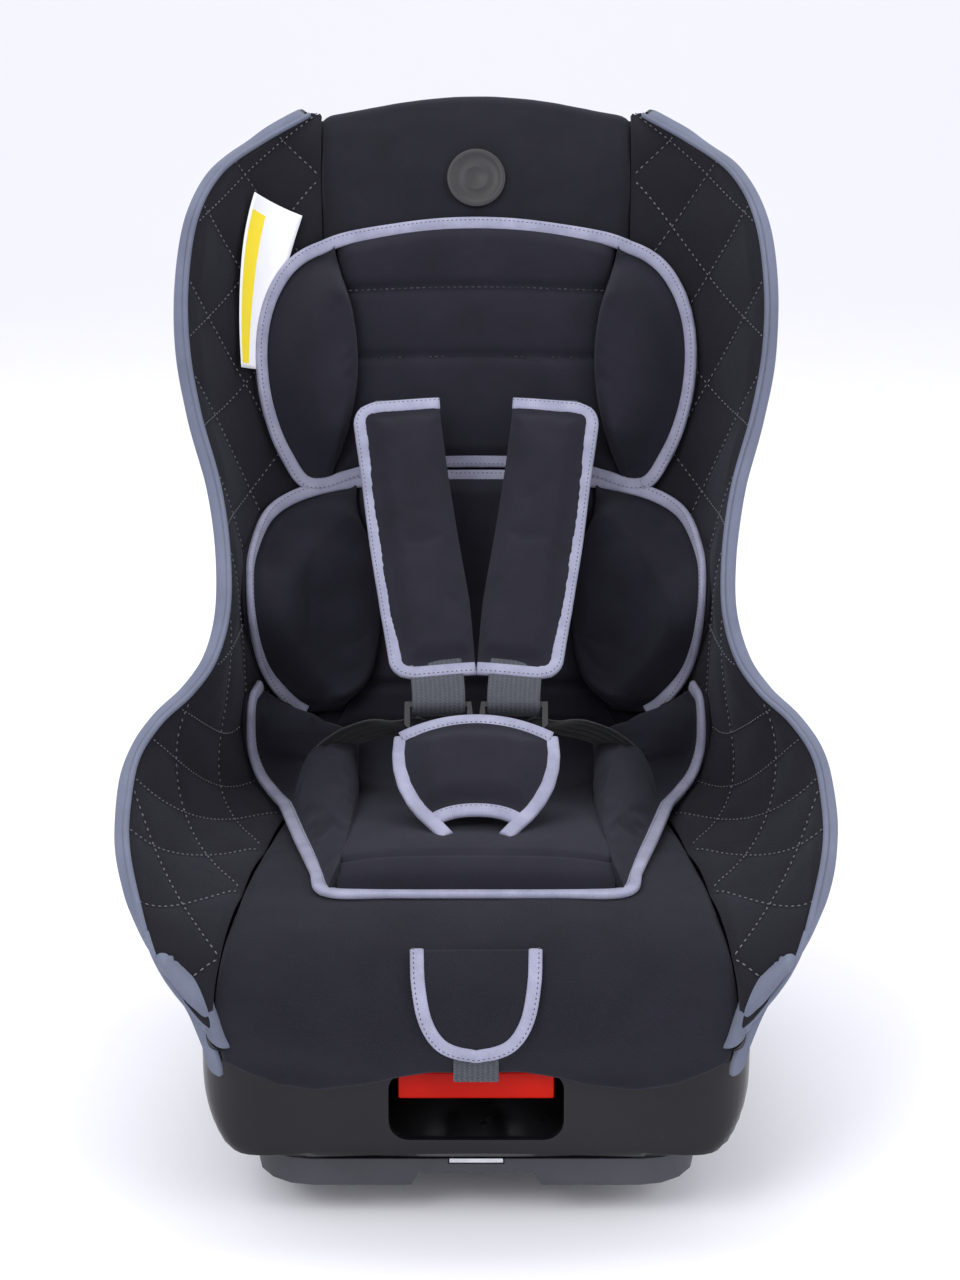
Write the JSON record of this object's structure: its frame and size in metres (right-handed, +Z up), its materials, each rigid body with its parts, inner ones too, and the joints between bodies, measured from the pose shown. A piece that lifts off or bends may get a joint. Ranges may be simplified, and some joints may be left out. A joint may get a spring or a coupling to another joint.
{
  "type": "convertible child car seat",
  "caption": "Reclining child car seat: moulded bucket shell with padded textile cover and infant inserts, five-point harness and a cradle base.",
  "frame": {"origin": "centre of the footprint on the surface that the base stands on", "axes": "+Z up, -Y towards the front edge of the seat, +X to the right seen from the front"},
  "size_m": [0.4294, 0.5022, 0.588],
  "materials": {
    "base_plastic": "moulded dark grey plastic, fine texture",
    "steel": "zinc plated steel",
    "shell_plastic": "glossy black moulded plastic",
    "black_plastic": "fine textured black plastic",
    "red_plastic": "red moulded plastic",
    "foam": "white polyurethane foam",
    "black_cloth": "black knitted polyester with a fine twill",
    "quilted_cloth": "black cloth quilted with grey stitches",
    "grey_cloth": "grey knitted polyester",
    "webbing": "dark grey woven polyester webbing",
    "dark_webbing": "black woven polyester webbing",
    "badge_rubber": "soft black rubber"
  },
  "bodies": {
    "base": {"base_frame": "base_plastic", "lock_rack": "steel", "rail_left": "steel", "rail_right": "steel"},
    "seat": {"adjuster_housing": "steel", "adjuster_pin": "steel", "adjuster_strap": "webbing", "back_bolster_left": "black_cloth", "back_bolster_right": "black_cloth", "back_insert": "black_cloth", "badge": "badge_rubber", "buckle_front": "black_plastic", "buckle_latch": "steel", "buckle_rear": "black_plastic", "button_spring": "steel", "cover_centre": "black_cloth", "cover_gusset_left": "grey_cloth", "cover_gusset_right": "grey_cloth", "cover_side_left": "quilted_cloth", "cover_side_right": "quilted_cloth", "crotch_anchor": "steel", "crotch_pad": "black_cloth", "crotch_strap": "webbing", "foam_back": "foam", "foam_seat": "foam", "foam_wing_left": "foam", "foam_wing_right": "foam", "handle_guide": "black_plastic", "harness_strap_left": "webbing", "harness_strap_right": "webbing", "head_bolster_left": "black_cloth", "head_bolster_right": "black_cloth", "head_insert": "black_cloth", "hip_anchor_left": "steel", "hip_anchor_right": "steel", "hip_strap_left": "dark_webbing", "hip_strap_right": "dark_webbing", "hold_down_hook_left": "steel", "hold_down_hook_right": "steel", "runner_left": "black_plastic", "runner_right": "black_plastic", "seat_bolster_left": "black_cloth", "seat_bolster_right": "black_cloth", "seat_insert": "black_cloth", "seat_shell": "shell_plastic", "shoulder_pad_left": "black_cloth", "shoulder_pad_right": "black_cloth", "yoke_plate": "steel"},
    "handle": {"recline_handle": "red_plastic"},
    "lock": {"lock_bar": "steel"},
    "adjuster_button": {"adjuster_button": "shell_plastic"},
    "flap": {"adjuster_flap": "black_cloth"},
    "buckle_button": {"buckle_button": "red_plastic"},
    "tongue_right": {"tongue_right": "steel"},
    "tongue_left": {"tongue_left": "steel"},
    "clamp_right": {"belt_clamp_right": "red_plastic"},
    "clamp_left": {"belt_clamp_left": "red_plastic"}
  },
  "joints": [
    {"name": "recline", "type": "hinge", "parent": "base", "child": "seat", "pos_m": [0, -0.165, 0.428], "axis": [-1, 0, 0], "range_deg": [0, 16]},
    {"name": "handle_pull", "type": "slide", "parent": "seat", "child": "handle", "axis": [0, -1, 0], "range_m": [0, 0.012], "stiffness_N_per_m": 400, "springref_m": -0.004},
    {"name": "lock_lift", "type": "slide", "parent": "seat", "child": "lock", "axis": [0, 0, 1], "range_m": [0, 0.006]},
    {"name": "adjuster_press", "type": "hinge", "parent": "seat", "child": "adjuster_button", "pos_m": [0, -0.224, 0.116], "axis": [1, 0, 0], "range_deg": [0, 12], "stiffness_Nm_per_rad": 0.3, "springref_deg": -17.19},
    {"name": "flap_lift", "type": "hinge", "parent": "seat", "child": "flap", "pos_m": [0, -0.2165, 0.1562], "axis": [-1, 0, 0], "range_deg": [0, 100]},
    {"name": "button_press", "type": "slide", "parent": "seat", "child": "buckle_button", "axis": [0, 0.7431, -0.6691], "range_m": [0, 0.0025], "stiffness_N_per_m": 3000, "springref_m": -0.001},
    {"name": "tongue_right_pull", "type": "slide", "parent": "seat", "child": "tongue_right", "axis": [0, 0.6691, 0.7431], "range_m": [0, 0.01]},
    {"name": "tongue_left_pull", "type": "slide", "parent": "seat", "child": "tongue_left", "axis": [0, 0.6691, 0.7431], "range_m": [0, 0.01]},
    {"name": "clamp_right_open", "type": "hinge", "parent": "seat", "child": "clamp_right", "pos_m": [0.156, 0.148, 0.188], "axis": [0, 1, 0], "range_deg": [0, 55]},
    {"name": "clamp_left_open", "type": "hinge", "parent": "seat", "child": "clamp_left", "pos_m": [-0.156, 0.148, 0.188], "axis": [0, -1, 0], "range_deg": [0, 55]}
  ],
  "couplings": [
    {"joint": "lock_lift", "follows": "handle_pull", "ratio": 0.5}
  ]
}
